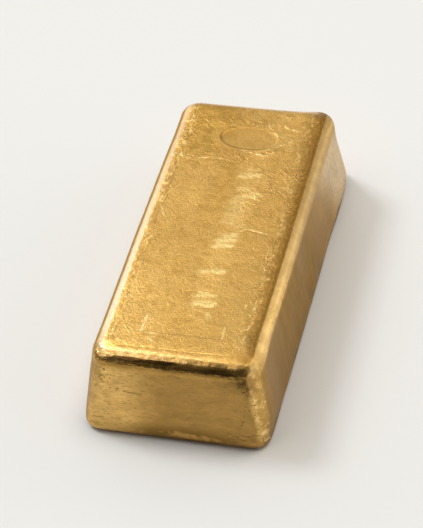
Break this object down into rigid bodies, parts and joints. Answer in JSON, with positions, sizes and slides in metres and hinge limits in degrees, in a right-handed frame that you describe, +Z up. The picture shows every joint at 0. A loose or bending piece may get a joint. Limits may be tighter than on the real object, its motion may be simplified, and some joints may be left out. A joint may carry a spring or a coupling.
{
  "type": "gold bar",
  "caption": "Large cast gold bar: a long tapered block with rolled shoulders and rounded corners, lying on its wide face, with a blank oval mark and a blank panel in its top.",
  "frame": {"origin": "under the middle of the bar, at the level of the floor it lies on", "axes": "+Y along the length, from the near end with the panel to the far end with the oval; +Z up, from the wide poured face to the narrow mould face"},
  "size_m": [0.085, 0.194, 0.043],
  "materials": {
    "gold": "cast gold with a satin skin, smooth on the sides and finely wrinkled on top"
  },
  "bodies": {
    "root": {"gold_bar": "gold"}
  },
  "joints": []
}
